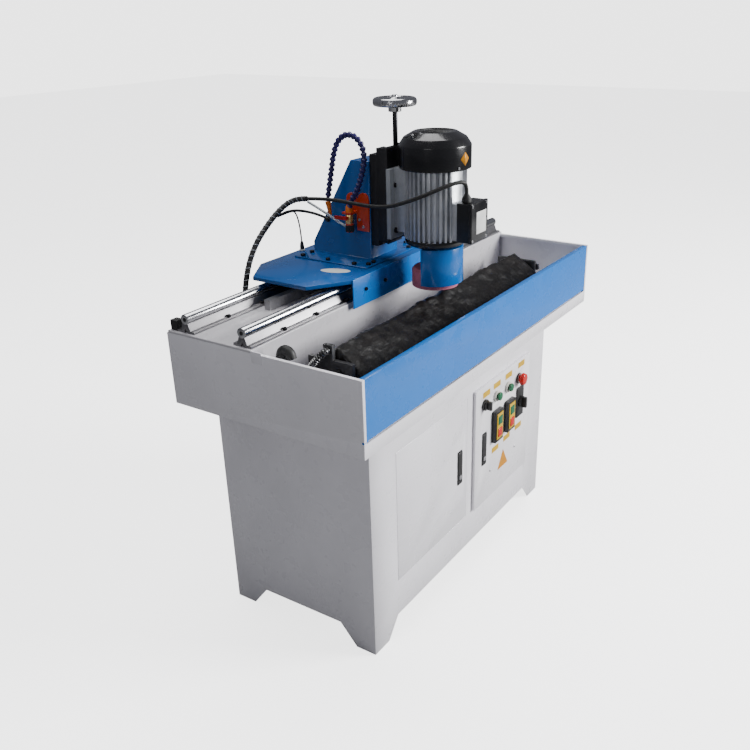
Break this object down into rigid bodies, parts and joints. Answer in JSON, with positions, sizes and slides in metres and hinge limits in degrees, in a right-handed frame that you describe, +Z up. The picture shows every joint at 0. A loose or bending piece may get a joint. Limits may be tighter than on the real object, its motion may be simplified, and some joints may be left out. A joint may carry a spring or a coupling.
{
  "type": "wet grinding sharpener",
  "caption": "Straight-knife wet grinder: tray and magnetic chuck on a sheet steel cabinet, with a motor-driven carriage and a vertical cup-wheel head.",
  "frame": {"origin": "on the floor under the middle of the machine", "axes": "+X to the operator's right along the rails, -Y towards the operator, +Z up"},
  "size_m": [1.24, 0.598, 1.346],
  "materials": {
    "cabinet_white": "smooth white enamel on sheet steel",
    "panel_grey": "smooth white enamel on sheet steel",
    "flap_blue": "bright blue gloss enamel",
    "rail_steel": "hard ground and polished shaft",
    "support_aluminium": "satin",
    "bolt_black": "black oxide",
    "rack_steel": "machined and oiled",
    "stop_rubber": "matt",
    "conduit_steel": "corrugated strip",
    "tank_steel": "galvanised",
    "pump_blue": "satin enamel",
    "black_plastic": "fine moulded texture",
    "collar_white": "moulded and metal-plated rings",
    "button_green": "moulded",
    "button_red": "moulded",
    "chuck_iron": "painted and oiled",
    "chuck_steel": "ground pole face",
    "carriage_blue": "blue gloss enamel",
    "slide_black": "machined and blacked",
    "head_grey": "satin grey enamel",
    "housing_aluminium": "die-cast, silver paint",
    "abrasive": "open-grained abrasive",
    "wheel_chrome": "polished",
    "hose_violet": "moulded ball segments",
    "nozzle_orange": "moulded",
    "hose_clear": "clear tube"
  },
  "bodies": {
    "root": {"cabinet_shell": "cabinet_white", "tray": "cabinet_white", "rail_platform": "cabinet_white", "rail_shafts": "rail_steel", "rail_supports": "support_aluminium", "rail_bolts": "bolt_black", "gear_rack": "rack_steel", "end_stops": "stop_rubber", "chuck_brackets": "cabinet_white", "chuck_conduit": "conduit_steel", "coolant_tank": "tank_steel", "coolant_pump": "pump_blue", "cable_fittings": "black_plastic"},
    "door_left": {"door_panel_left": "cabinet_white"},
    "door_right": {"door_panel_right": "panel_grey", "button_collars": "collar_white", "panel_switch_cases": "black_plastic"},
    "latch_left": {"latch_paddle_left": "black_plastic"},
    "latch_right": {"latch_paddle_right": "black_plastic"},
    "selector": {"selector_knob": "black_plastic"},
    "green_left": {"green_button_left": "button_green"},
    "green_right": {"green_button_right": "button_green"},
    "emergency": {"emergency_button": "button_red"},
    "start_left": {"start_button_left": "button_green"},
    "stop_left": {"stop_button_left": "button_red"},
    "start_right": {"start_button_right": "button_green"},
    "stop_right": {"stop_button_right": "button_red"},
    "cam_switch": {"cam_switch_knob": "black_plastic"},
    "flap": {"front_flap": "flap_blue"},
    "chuck": {"chuck_body": "chuck_iron", "chuck_face": "chuck_steel"},
    "chuck_lock": {"chuck_lock_knob": "black_plastic"},
    "carriage": {"carriage_plate": "carriage_blue", "front_apron": "carriage_blue", "bearing_blocks": "support_aluminium", "column": "carriage_blue", "column_bolts": "bolt_black", "dovetail_base": "slide_black", "travel_motor": "slide_black", "coolant_tap": "support_aluminium", "coolant_hose": "hose_violet", "coolant_nozzle": "nozzle_orange", "cable_bundle": "stop_rubber", "water_hose": "hose_clear"},
    "travel_gear": {"travel_pinion": "rack_steel"},
    "tap_handle": {"tap_lever": "button_red"},
    "head": {"saddle": "slide_black", "head_plate": "head_grey", "motor_housing": "housing_aluminium", "fan_cover": "black_plastic", "end_shield": "black_plastic", "terminal_box": "black_plastic", "cable_gland": "black_plastic", "wheel_guard": "carriage_blue", "motor_cable": "stop_rubber"},
    "feed_wheel": {"handwheel": "wheel_chrome", "lead_screw": "rack_steel"},
    "spindle": {"rotor_and_fan": "rack_steel", "wheel_flange": "rack_steel", "grinding_wheel": "abrasive"}
  },
  "joints": [
    {"name": "carriage_travel", "type": "slide", "parent": "root", "child": "carriage", "axis": [1, 0, 0], "range_m": [-0.365, 0.377], "deforming": ["cable_bundle"]},
    {"name": "pinion_turn", "type": "hinge", "parent": "carriage", "child": "travel_gear", "pos_m": [-0.006, 0.125, 0.88], "axis": [0, 0, 1], "range_deg": [-1200, 1200]},
    {"name": "head_feed", "type": "slide", "parent": "carriage", "child": "head", "axis": [0, 0, 1], "range_m": [-0.025, 0.06], "deforming": ["motor_cable"]},
    {"name": "handwheel_turn", "type": "hinge", "parent": "head", "child": "feed_wheel", "pos_m": [-0.006, 0.01125, 1.334], "axis": [0, 0, 1], "range_deg": [-2400, 5600]},
    {"name": "spindle_turn", "type": "hinge", "parent": "head", "child": "spindle", "pos_m": [-0.006, -0.109, 1], "axis": [0, 0, 1], "continuous": true},
    {"name": "chuck_tilt", "type": "hinge", "parent": "root", "child": "chuck", "pos_m": [0, -0.129, 0.776], "axis": [1, 0, 0], "range_deg": [-35, 55]},
    {"name": "chuck_lock_turn", "type": "hinge", "parent": "chuck", "child": "chuck_lock", "pos_m": [0.54, -0.129, 0.776], "axis": [1, 0, 0], "range_deg": [-180, 180]},
    {"name": "flap_fold", "type": "hinge", "parent": "root", "child": "flap", "pos_m": [0, -0.296, 0.704], "axis": [1, 0, 0], "range_deg": [0, 90]},
    {"name": "door_left_swing", "type": "hinge", "parent": "root", "child": "door_left", "pos_m": [-0.378, -0.217, 0.35], "axis": [0, 0, -1], "range_deg": [0, 110]},
    {"name": "door_right_swing", "type": "hinge", "parent": "root", "child": "door_right", "pos_m": [0.372, -0.223, 0.35], "axis": [0, 0, 1], "range_deg": [0, 110]},
    {"name": "latch_left_lift", "type": "hinge", "parent": "door_left", "child": "latch_left", "pos_m": [-0.055, -0.216, 0.2985], "axis": [1, 0, 0], "range_deg": [0, 30]},
    {"name": "latch_right_lift", "type": "hinge", "parent": "door_right", "child": "latch_right", "pos_m": [0.075, -0.225, 0.3015], "axis": [1, 0, 0], "range_deg": [0, 30]},
    {"name": "selector_turn", "type": "hinge", "parent": "door_right", "child": "selector", "pos_m": [0.072, -0.228, 0.497], "axis": [0, -1, 0], "range_deg": [-45, 45]},
    {"name": "green_left_press", "type": "slide", "parent": "door_right", "child": "green_left", "axis": [0, 1, 0], "range_m": [0, 0.003], "stiffness_N_per_m": 300},
    {"name": "green_right_press", "type": "slide", "parent": "door_right", "child": "green_right", "axis": [0, 1, 0], "range_m": [0, 0.003], "stiffness_N_per_m": 300},
    {"name": "emergency_press", "type": "slide", "parent": "door_right", "child": "emergency", "axis": [0, 1, 0], "range_m": [0, 0.005]},
    {"name": "start_left_press", "type": "slide", "parent": "door_right", "child": "start_left", "axis": [0, 1, 0], "range_m": [0, 0.003], "stiffness_N_per_m": 300},
    {"name": "stop_left_press", "type": "slide", "parent": "door_right", "child": "stop_left", "axis": [0, 1, 0], "range_m": [0, 0.003], "stiffness_N_per_m": 300},
    {"name": "start_right_press", "type": "slide", "parent": "door_right", "child": "start_right", "axis": [0, 1, 0], "range_m": [0, 0.003], "stiffness_N_per_m": 300},
    {"name": "stop_right_press", "type": "slide", "parent": "door_right", "child": "stop_right", "axis": [0, 1, 0], "range_m": [0, 0.003], "stiffness_N_per_m": 300},
    {"name": "cam_switch_turn", "type": "hinge", "parent": "door_right", "child": "cam_switch", "pos_m": [0.3065, -0.228, 0.415], "axis": [0, -1, 0], "range_deg": [0, 90]},
    {"name": "tap_turn", "type": "hinge", "parent": "carriage", "child": "tap_handle", "pos_m": [-0.105, 0.104, 1.038], "axis": [-1, 0, 0], "range_deg": [0, 90]}
  ],
  "couplings": [
    {"joint": "pinion_turn", "follows": "carriage_travel", "rad_per_m": 50},
    {"joint": "handwheel_turn", "follows": "head_feed", "rad_per_m": 1570.8}
  ]
}
